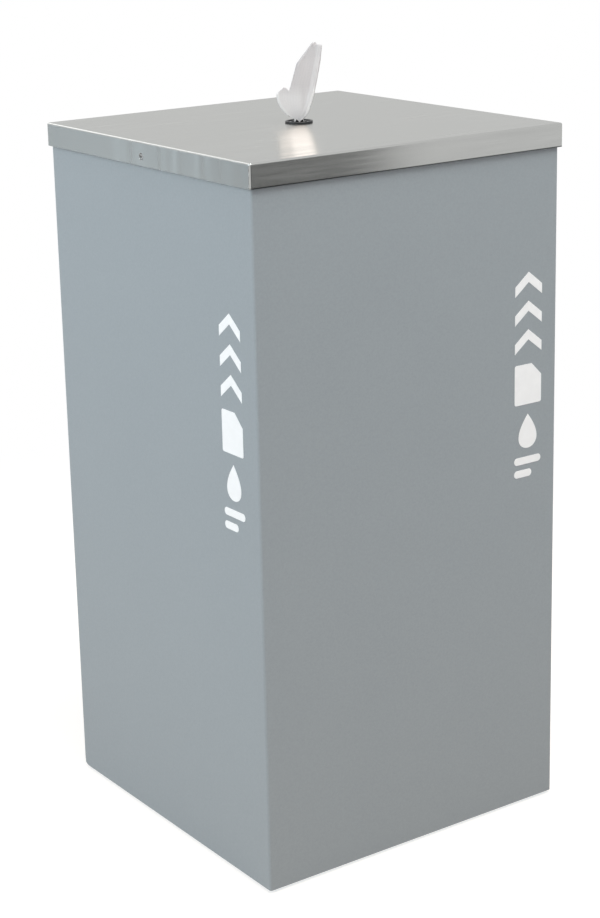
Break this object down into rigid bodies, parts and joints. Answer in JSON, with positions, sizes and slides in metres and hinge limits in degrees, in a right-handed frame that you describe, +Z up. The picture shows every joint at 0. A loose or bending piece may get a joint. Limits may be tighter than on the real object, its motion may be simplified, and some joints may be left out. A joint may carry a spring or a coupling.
{
  "type": "wipes dispenser",
  "caption": "Tall square sheet-steel wipes dispenser with a lift-off brushed steel lid, a star-slit grommet, rubber feet, and a pail on a shelf inside holding a centre-pull roll.",
  "frame": {"origin": "on the floor under the middle of the cabinet", "axes": "+Z up; -Y is the front wall, -X the left wall, which carries the visible lock screw in the lid's skirt"},
  "size_m": [0.2582, 0.2582, 0.5555],
  "materials": {
    "grey_powder_coat": "fine-textured matt powder coat",
    "brushed_stainless": "brushed, satin",
    "stainless_screw": "turned",
    "zinc_plated_steel": "bright zinc plate",
    "black_nylon": "moulded, satin",
    "black_rubber": "moulded, matt",
    "black_foam": "closed-cell foam",
    "white_pail_plastic": "moulded polyethylene, satin",
    "white_film": "cut vinyl film decal, satin",
    "white_nonwoven": "non-woven, matt"
  },
  "bodies": {
    "cabinet": {"body_wrapper": "grey_powder_coat", "base_pan": "zinc_plated_steel", "foot_front_left": "black_rubber", "foot_front_right": "black_rubber", "foot_back_left": "black_rubber", "foot_back_right": "black_rubber", "foot_washers": "zinc_plated_steel", "foot_screws": "zinc_plated_steel", "foot_nuts": "zinc_plated_steel", "shelf_rail_left": "zinc_plated_steel", "shelf_rail_right": "zinc_plated_steel", "bucket_shelf": "zinc_plated_steel", "shelf_screws": "zinc_plated_steel", "shelf_nuts": "zinc_plated_steel"},
    "lid": {"lid_pan": "brushed_stainless", "lid_gasket": "black_foam", "grommet": "black_nylon", "grommet_nut": "black_nylon", "slit_diaphragm": "black_rubber"},
    "left_lock": {"lock_screw_left": "stainless_screw", "lock_stop_left": "stainless_screw"},
    "left_clamp": {"clamp_plate_left": "zinc_plated_steel"},
    "right_lock": {"lock_screw_right": "stainless_screw", "lock_stop_right": "stainless_screw"},
    "right_clamp": {"clamp_plate_right": "zinc_plated_steel"},
    "wipe": {"wipe": "white_nonwoven"},
    "bucket": {"bucket": "white_pail_plastic"},
    "bail": {"bail_wire": "zinc_plated_steel"},
    "grip": {"bail_grip": "black_nylon"},
    "roll": {"wipes_roll": "white_nonwoven"}
  },
  "joints": [
    {"name": "lid_lift", "type": "slide", "parent": "cabinet", "child": "lid", "axis": [0, 0, 1], "range_m": [0, 0.15]},
    {"name": "left_clamp_travel", "type": "slide", "parent": "lid", "child": "left_clamp", "axis": [1, 0, 0], "range_m": [0, 0.00135]},
    {"name": "left_lock_turn", "type": "hinge", "parent": "lid", "child": "left_lock", "pos_m": [-0.125, 0, 0.4899], "axis": [-1, 0, 0], "range_deg": [0, 1080]},
    {"name": "right_clamp_travel", "type": "slide", "parent": "lid", "child": "right_clamp", "axis": [-1, 0, 0], "range_m": [0, 0.00135]},
    {"name": "right_lock_turn", "type": "hinge", "parent": "lid", "child": "right_lock", "pos_m": [0.125, 0, 0.4899], "axis": [1, 0, 0], "range_deg": [0, 1080]},
    {"name": "wipe_pull", "type": "slide", "parent": "lid", "child": "wipe", "axis": [0, 0, 1], "range_m": [0, 0.12]},
    {"name": "bucket_lift", "type": "slide", "parent": "cabinet", "child": "bucket", "axis": [0, 0, 1], "range_m": [0, 0.03]},
    {"name": "roll_lift", "type": "slide", "parent": "bucket", "child": "roll", "axis": [0, 0, 1], "range_m": [0, 0.08]},
    {"name": "bail_swing", "type": "hinge", "parent": "bucket", "child": "bail", "pos_m": [0, 0, 0.336], "axis": [-1, 0, 0], "range_deg": [0, 105]},
    {"name": "grip_spin", "type": "hinge", "parent": "bail", "child": "grip", "pos_m": [0, -0.10496, 0.28686], "axis": [1, 0, 0], "continuous": true}
  ],
  "couplings": [
    {"joint": "left_lock_turn", "follows": "left_clamp_travel", "rad_per_m": 13963},
    {"joint": "right_lock_turn", "follows": "right_clamp_travel", "rad_per_m": 13963}
  ]
}
